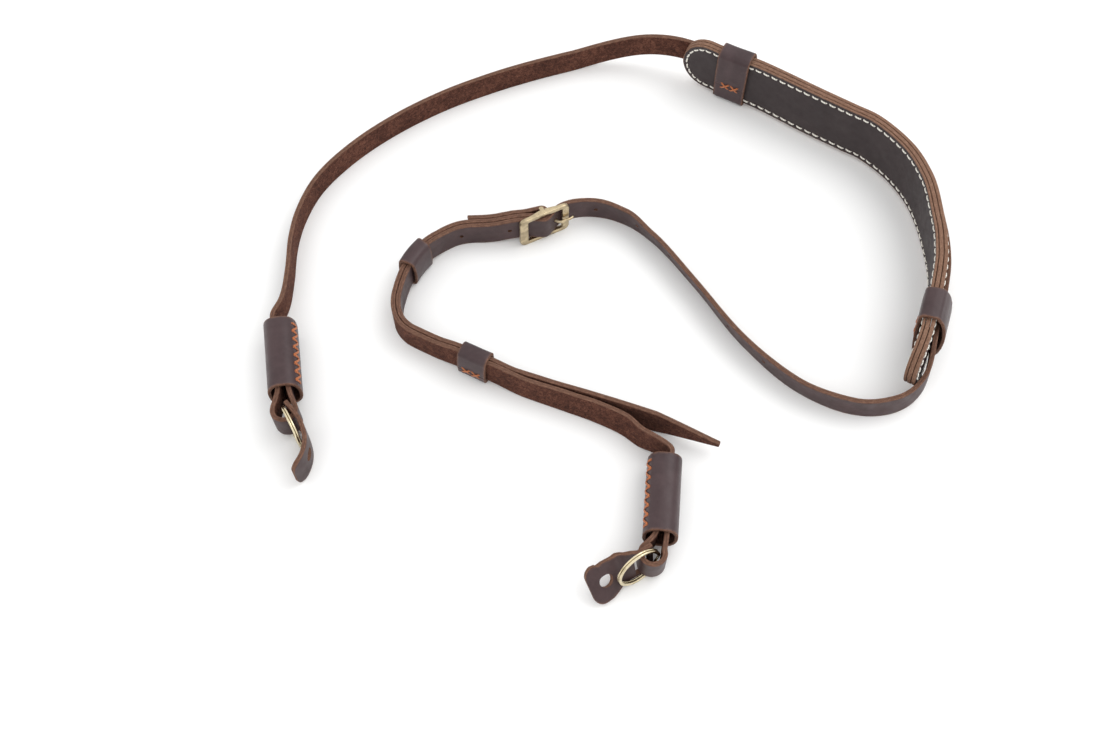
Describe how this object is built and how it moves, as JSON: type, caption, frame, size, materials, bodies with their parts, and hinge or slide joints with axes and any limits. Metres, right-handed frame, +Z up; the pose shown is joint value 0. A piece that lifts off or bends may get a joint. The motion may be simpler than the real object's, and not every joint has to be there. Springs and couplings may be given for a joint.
{
  "type": "camera shoulder strap",
  "caption": "Narrow leather shoulder strap with a layered stitched pad, a buckled length adjuster, sliding loops, rolled end sleeves, split rings and round-ended flaps.",
  "frame": {"origin": "on the table, under the middle of the strap's bounding box as it lies", "axes": "+Z up from the table, +X from the left end sleeve towards the pad, +Y from the end sleeves towards the far side of the loop"},
  "size_m": [0.3118, 0.2938, 0.0338],
  "materials": {
    "main_strap": "waxed smooth side, brown suede side",
    "buckle_strap": "waxed smooth side, brown suede side",
    "pad_front": "smooth and matt",
    "pad_core": "raw edge",
    "pad_back": "suede",
    "keeper": "smooth and waxed",
    "sleeve": "smooth and waxed",
    "flap": "smooth, raw edges",
    "ring": "aged",
    "frame": "aged",
    "tongue": "aged"
  },
  "bodies": {
    "root": {"main_strap": "main_strap", "buckle_strap": "buckle_strap", "pad_front": "pad_front", "pad_core": "pad_core", "pad_back": "pad_back", "pad_keeper_left": "keeper", "pad_keeper_right": "keeper", "strap_keeper_upper": "keeper", "strap_keeper_lower": "keeper", "end_sleeve_left": "sleeve", "end_sleeve_right": "sleeve", "split_ring_left": "ring", "split_ring_right": "ring", "ring_flap_left": "flap", "ring_flap_right": "flap", "buckle_frame": "frame", "buckle_tongue": "tongue"}
  },
  "joints": []
}
